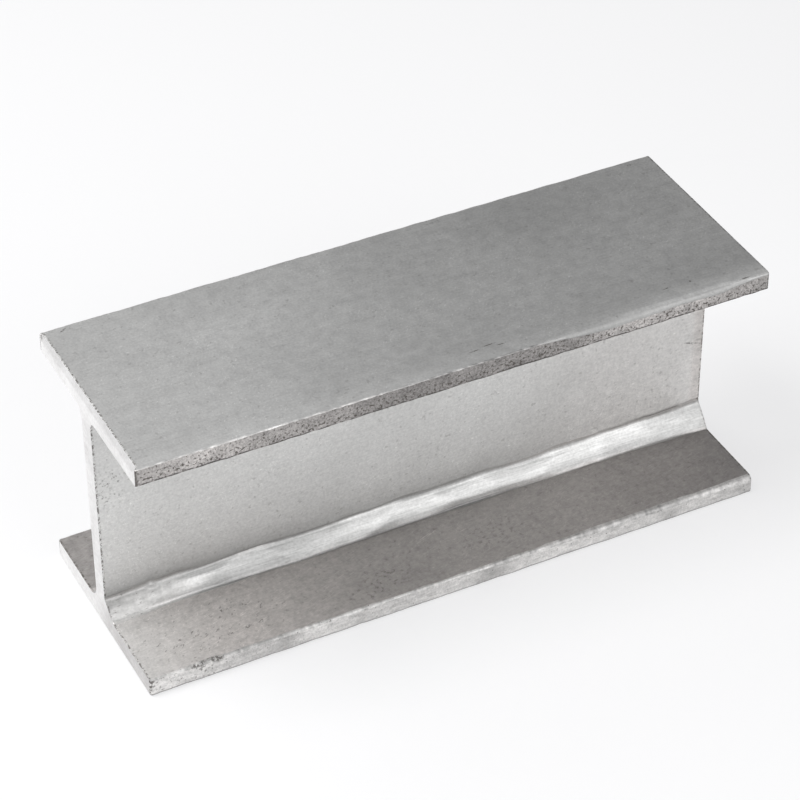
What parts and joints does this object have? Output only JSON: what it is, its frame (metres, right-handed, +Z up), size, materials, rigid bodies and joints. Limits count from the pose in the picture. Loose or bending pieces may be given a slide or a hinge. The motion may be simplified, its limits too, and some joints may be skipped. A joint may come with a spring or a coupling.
{
  "type": "steel h-beam",
  "caption": "Short sawn length of steel H-beam: wide parallel flanges joined by a web, with rounded roots and one ground fillet. Carries load in bending or serves as a base block.",
  "frame": {"origin": "middle of the underside, on the floor that the beam stands on", "axes": "+X along the beam's length, +Y across the flanges towards the back, +Z up"},
  "size_m": [0.286, 0.1, 0.118],
  "materials": {
    "steel": "bare pickled steel, matt mill faces, pitted flange edges, sawn ends and a dry-ground root fillet"
  },
  "bodies": {
    "root": {"h_beam": "steel"}
  },
  "joints": []
}
